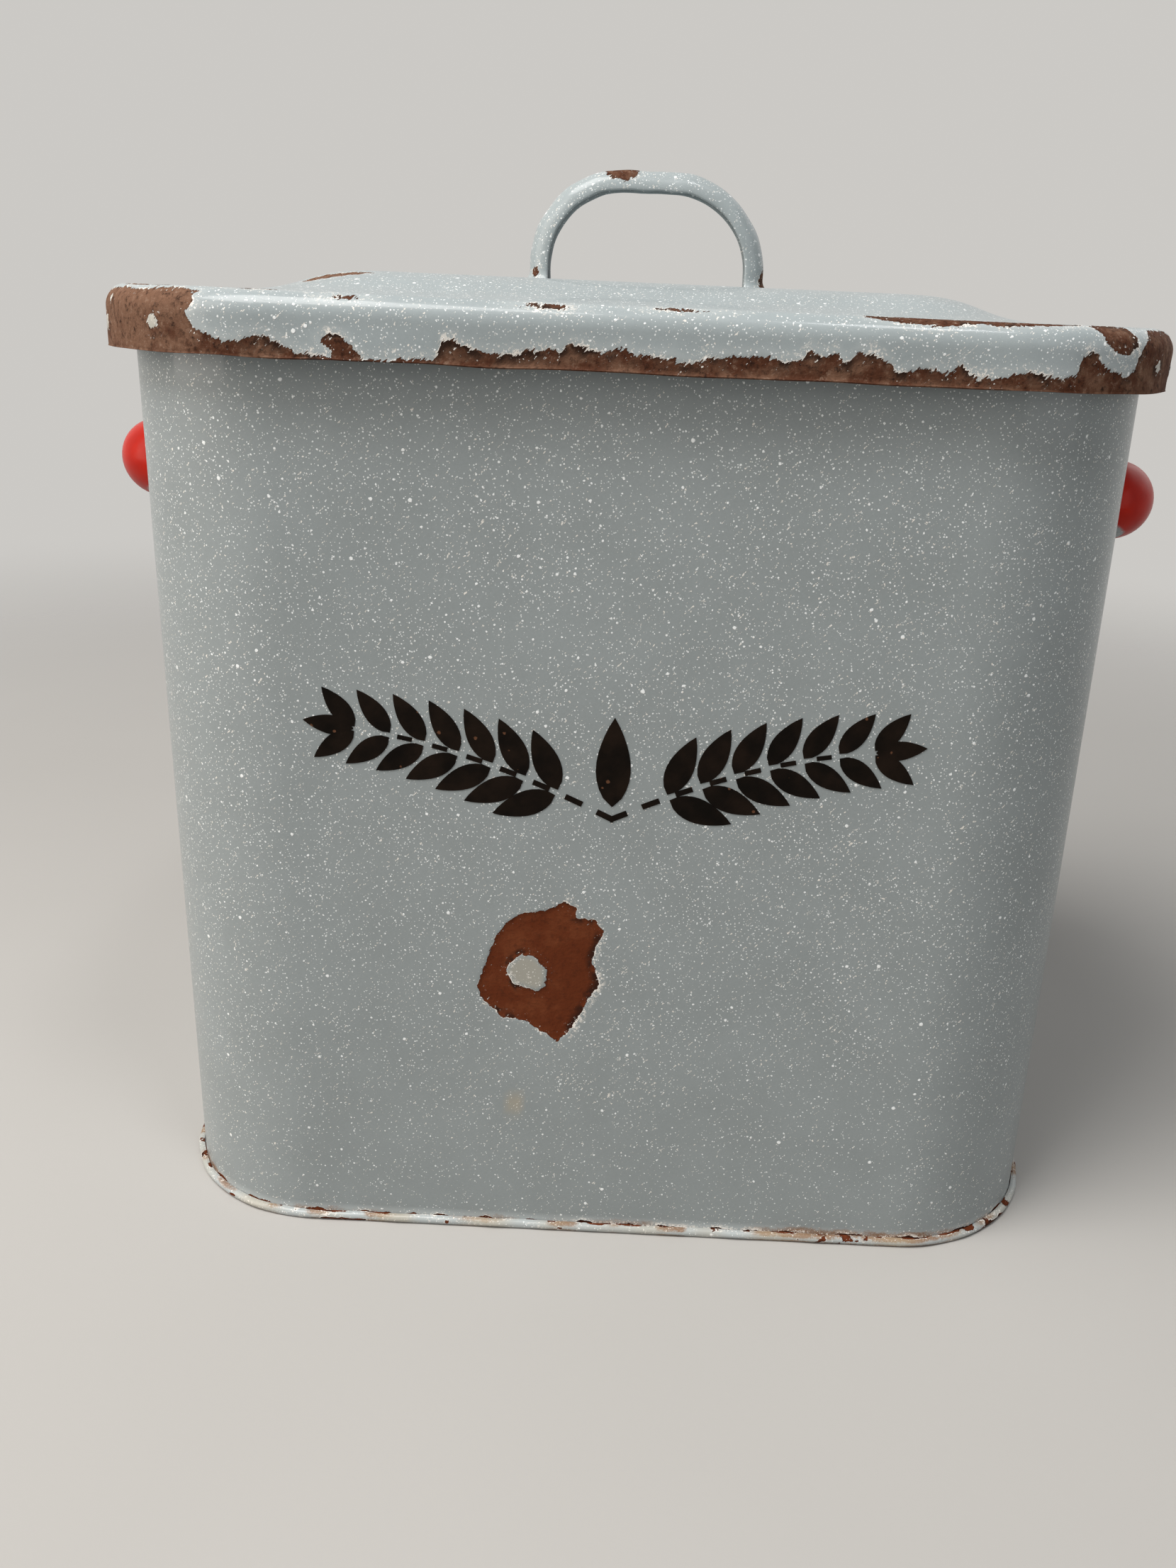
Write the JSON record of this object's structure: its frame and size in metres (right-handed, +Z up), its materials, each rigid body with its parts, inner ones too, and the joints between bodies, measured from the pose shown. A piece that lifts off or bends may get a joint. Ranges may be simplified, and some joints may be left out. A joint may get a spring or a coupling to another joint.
{
  "type": "bread bin",
  "caption": "Upright enamelled steel bread bin with rounded corners, a lift-off skirted lid with an arched handle, and a strap handle on each side.",
  "frame": {"origin": "middle of the footprint at the level the bin stands on", "axes": "+Z up, -Y out of the front face, +X to the right of a viewer who faces the front"},
  "size_m": [0.386, 0.2566, 0.3728],
  "materials": {
    "speckled_enamel": "glossy speckled enamel",
    "red_enamel": "glossy enamel"
  },
  "bodies": {
    "bin": {"body_wall": "speckled_enamel", "base_pan": "speckled_enamel", "left_side_handle": "red_enamel", "right_side_handle": "red_enamel"},
    "lid": {"lid_shell": "speckled_enamel", "lid_handle": "speckled_enamel"}
  },
  "joints": [
    {"name": "lid_lift", "type": "slide", "parent": "bin", "child": "lid", "axis": [0, 0, 1], "range_m": [0, 0.3]}
  ]
}
